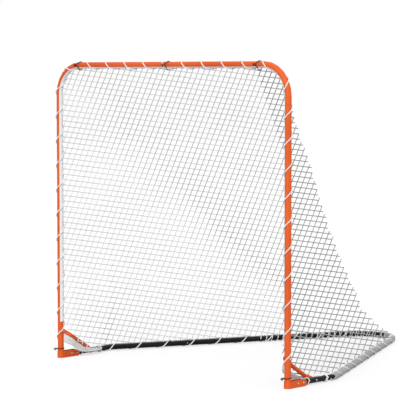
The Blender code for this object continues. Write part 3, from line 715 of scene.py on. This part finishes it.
def dress_frame():
    names = sorted(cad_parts)
    zinc = [n for n in names if "screw" in n or "bolt" in n]
    black = [n for n in names if n.startswith(("base_front", "base_rear", "base_apex")) and n not in zinc]
    orange_starts = ("post_", "corner_", "crossbar_", "foot_", "brace_")
    orange = [n for n in names if n.startswith(orange_starts) and n not in zinc]
    dress(orange, powder_coat("orange_coat", (0.62, 0.082, 0.010), (0.72, 0.108, 0.015), 0.40, 0.05))
    dress(black, powder_coat("black_coat", (0.003, 0.003, 0.004), (0.006, 0.006, 0.007), 0.30, 0.02))
    dress(zinc, zinc_plate())
    balls = [n for n in names if n.endswith("_ball")]
    dress(balls, moulded_ball())
    for name in balls:
        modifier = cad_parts[name].modifiers.new("round", "SUBSURF")
        modifier.levels = modifier.render_levels = 2


# --- the soft pieces ------------------------------------------------------------------------------------
def dress_front_edge(webbing, lace):
    route = frame_route()
    start = WEBBING_START
    strip = tape("front_webbing", route, start, route.length - start, inward, POST_R, webbing)
    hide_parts("front_tape")
    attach(strip, "mouth")
    bend = CORNER_RADIUS * math.pi / 2
    crossings = [LACING_LEFT_LOW + POST_LACING_PITCH * i for i in range(-1, 10)]
    crossings.append(CORNER_Z + bend * ELBOW_CROSSING_SHARES[0])
    first = route.length / 2 + CROSSBAR_LACING_FIRST
    crossings += [first + CROSSBAR_LACING_PITCH * i for i in range(10)]
    crossings.append(route.length - CORNER_Z - bend * ELBOW_CROSSING_SHARES[1])
    crossings += [route.length - LACING_RIGHT_LOW - POST_LACING_PITCH * i for i in range(8, -2, -1)]
    points = lacing_points(route, crossings, inward, 1, POST_R, 0.5)
    for height in LACING_TAIL_HEIGHTS:
        points.append(at(POST_X - POST_R - LACING_DIAMETER / 2, 0, height))
    lacing = cord("front_lacing_cord", points, LACING_DIAMETER, lace)
    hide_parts("front_lacing")
    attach(lacing, "mouth")


def wrap_strands(soup, route, span, outward, reach, lean, pitch):
    """Strands of net that go over a tube by reach to either side of outward, each one leaning."""
    start, end = span
    for k in range(int((end - start) / pitch)):
        points = []
        for i in range(13):
            angle = lean * reach * (i / 6 - 1)
            distance = min(start + k * pitch + WRAP_LEAN * i / 12, end)
            heading = route.heading(distance)
            radius = BASE_R + TWINE_RADIUS + 0.0004 + 0.0012 * ((i // 2 + k) % 2)
            point = route.point(distance) + around(heading, outward(heading), angle) * radius
            points.append(lifted(point, TWINE_RADIUS))
        if (points[-1] - points[0]).length > 0.03:
            soup.sweep(points, circle(TWINE_RADIUS, TWINE_SIDES))


def cord_loop(soup, route, distance, outward, radius, turns):
    """A cord wound round a tube, a little slack."""
    points = []
    for i in range(14 * turns + 1):
        angle = math.tau * i / 14
        place = distance + 0.009 * angle / math.tau
        heading = route.heading(place)
        point = route.point(place) + around(heading, outward(heading), angle) * radius
        points.append(lifted(point, LACING_DIAMETER / 2))
    soup.sweep(points, circle(LACING_DIAMETER / 2, CORD_SIDES))


def dress_base_edge(side, margin, lace):
    name = SIDE_NAME[side]
    route = base_route(side)

    def outward(heading):
        return heading.cross(UP) * side + UP * OUTWARD_RISE

    soup = Soup()
    for lean in (LEFT, RIGHT):
        span = (BASE_MARGIN_START, route.length)
        wrap_strands(soup, route, span, outward, WRAP_REACH, lean, WRAP_PITCH)
    wrap = soup.build(f"base_net_margin_{name}", margin)
    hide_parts(f"base_tape_{name}")
    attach(wrap, "base")
    first = BASE_MARGIN_START + BASE_LACING_FIRST
    crossings = [first + BASE_LACING_PITCH * i for i in range(10)]
    soup = Soup()
    lacing_path = lacing_points(route, crossings, outward, side, BASE_R + MARGIN_DEPTH)
    soup.sweep(lacing_path, circle(LACING_DIAMETER / 2, CORD_SIDES))
    span = (BASE_MARGIN_START + LOOP_START, route.length)
    wrap_strands(soup, route, span, outward, LOOP_REACH, side, LOOP_PITCH)
    for distance, turns in FOOT_LOOPS:
        cord_loop(soup, route, distance, outward, BASE_R + LACING_DIAMETER / 2 + 0.0004, turns)
    lacing = soup.build(f"base_lacing_cord_{name}", lace)
    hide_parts(f"base_lacing_{name}")
    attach(lacing, "base")


def dress_bungees(cover):
    """Smooth elastic cords in place of the CAD's square ones."""
    for name in sorted(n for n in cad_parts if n.startswith("bungee") and n.endswith("_cord")):
        low, high = (Vector(corner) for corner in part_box(name))
        ball = middle(name.replace("_cord", "_ball"))
        upright = high.z - low.z > high.x - low.x
        sideways = UP if upright else ACROSS
        tube = Vector((ball.x, POST_Y, CROSSBAR_Z if upright else ball.z))
        lift = BUNGEE_LIFT if upright else 0.0
        wrap = POST_R + 0.0023
        stop = POST_Y - ball.y - 0.0105
        path = [(stop, 0.0026), (0.0365, 0.0028), (0.033, 0.0050), (0.0285, 0.0095), (0.0225, 0.0142)]
        for i in range(25):
            angle = math.radians(50 + 260 * i / 24)
            reach = wrap + lift * min(math.sin(angle), 0) ** 2
            path.append((reach * math.cos(angle), reach * math.sin(angle)))
        path += [(forward, -side) for forward, side in path[4::-1]]
        points = [tube - BACKWARD * forward + sideways * side for forward, side in path]
        elastic = cord(f"{name}_cover", points, BUNGEE_DIAMETER, cover)
        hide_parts(name)
        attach(elastic, "mouth")


def gathered_corner(side, material):
    """The net's slack, gathered under the brace, from the post to the base tube."""
    soup = Soup()
    for k in range(GATHERED_STRANDS):
        start_z = GATHER_TOP_Z - GATHER_STEP_Z * k
        end_y = GATHER_END_Y - GATHER_STEP_Y * ((5 * k) % GATHERED_STRANDS)
        points = []
        for i in range(21):
            share = i / 20
            wave = math.sin(share * 11 + k * 2.3) * 0.003
            bow = CORNER_BOW * (1 - fade(share, 0.0, 0.12)) * fade(share, 0.85, 1.0)
            x = side * (POST_X - 0.0235 - bow - 0.0010 * (k % 4) + wave * 0.3)
            sag = 4 * share * (1 - share) * (GATHER_SAG - GATHER_STEP_SAG * k)
            z = start_z + (BASE_AXIS_Z + 0.012 - start_z) * share - sag + wave
            points.append(at(x, 0.004 + (end_y - 0.004) * share, max(z, 0.010)))
        soup.sweep(points, circle(TWINE_RADIUS, TWINE_SIDES))
    gusset = soup.build(f"net_corner_{SIDE_NAME[side]}", material)
    fold_with_base(gusset)


def dress_net(looks):
    families = (family(FALLING_SLOPE), family(LEANING_SLOPE))
    rows = np.linspace(0, 1, 100)
    for side in (LEFT, RIGHT):
        def point(t, share, side=side):
            return side_point(t, share, side)

        # The right panel takes the darker twine, painted shade; the left panel takes the net's own light
        # grey.
        panel = netting(f"net_twine_{SIDE_NAME[side]}", point, rows, np.linspace(0, 1, 90),
                        families, looks[side])
        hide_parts(f"net_side_{SIDE_NAME[side]}")
        fold_with_base(panel)
        gathered_corner(side, looks[LEFT])
    panel = netting("net_twine_rear", rear_point, rows, np.linspace(-1, 1, 90), families, looks[LEFT])
    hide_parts("net_rear")
    fold_with_base(panel)


# --- studio ---------------------------------------------------------------------------------------------
def add_camera():
    data = bpy.data.cameras.new("camera")
    data.sensor_width = 36
    data.lens = CAMERA_LENS
    camera = bpy.data.objects.new("camera", data)
    camera.location = at(*CAMERA_PLACE)
    camera.rotation_euler = (math.pi / 2 - CAMERA_PITCH, 0, CAMERA_AZIMUTH)
    bpy.context.scene.collection.objects.link(camera)
    bpy.context.scene.camera = camera


def add_sun(name, origin, spread, strength):
    """A distant light that shines from the origin's direction, soft by its angular spread."""
    data = bpy.data.lights.new(name, "SUN")
    data.angle = math.radians(spread)
    data.energy = strength
    light = bpy.data.objects.new(name, data)
    light.rotation_euler = (-Vector(origin)).to_track_quat("-Z", "Y").to_euler()
    bpy.context.scene.collection.objects.link(light)


def seen_or_lit(tree, seen, lit):
    """A strength that is `seen` in the picture itself and `lit` as a source of light."""
    strength = tree.nodes.new("ShaderNodeMapRange")
    strength.inputs["To Min"].default_value = lit
    strength.inputs["To Max"].default_value = seen
    tree.links.new(tree.nodes.new("ShaderNodeLightPath").outputs["Is Camera Ray"],
                   strength.inputs["Value"])
    return strength.outputs["Result"]


def add_studio():
    floor_look = Look("floor")
    set_surface(floor_look, Base_Color=(FLOOR_GREY, FLOOR_GREY, FLOOR_GREY, 1), Roughness=1.0,
                Specular_IOR_Level=0.0, Emission_Color=(1, 1, 1, 1))
    glow = seen_or_lit(floor_look.tree, FLOOR_SEEN, FLOOR_LIT)
    floor_look.join(glow, floor_look.shader.inputs["Emission Strength"])
    bpy.ops.mesh.primitive_plane_add(size=60, location=(0, 0, 0))
    floor = bpy.context.object
    floor.name = "floor"
    floor.data.materials.append(floor_look.material)
    world = bpy.data.worlds.new("studio")
    world.use_nodes = True
    tree = world.node_tree
    background = tree.nodes["Background"]
    tree.links.new(seen_or_lit(tree, WORLD_SEEN, WORLD_LIT), background.inputs["Strength"])
    background.inputs["Color"].default_value = (1, 1, 1, 1)
    bpy.context.scene.world = world
    bpy.context.scene.view_settings.view_transform = "Standard"
    add_sun("key", SUN_FROM, SUN_SPREAD, SUN_STRENGTH)


add_camera()
add_studio()
dress_frame()
WEBBING = woven_tape()
NET_LOOKS = {
    LEFT: twine("net_twine_light", (0.62, 0.625, 0.63), (0.78, 0.78, 0.78)),
    # The right side panel's twine is a darker grey than the rest: painted shade, for the same net's outer
    # side seen in shade.
    RIGHT: twine("net_twine_painted_shade", (0.32, 0.325, 0.33), (0.46, 0.465, 0.47)),
}
LACE = braided("lacing_cover", (0.78, 0.78, 0.77), (0.93, 0.93, 0.92), 0.0022, 0.7)
# The net's margin over the base tube is a darker grey than the net: painted shade on the border band
# wrapped round the tube's outer side.
MARGIN = twine("margin_twine_painted_shade", (0.30, 0.30, 0.30), (0.54, 0.54, 0.53))
dress_front_edge(WEBBING, LACE)
for each_side in (LEFT, RIGHT):
    dress_base_edge(each_side, MARGIN, LACE)
dress_bungees(braided("bungee_cover", (0.004, 0.004, 0.004), (0.014, 0.014, 0.015), 0.0018, 0.8))
dress_net(NET_LOOKS)
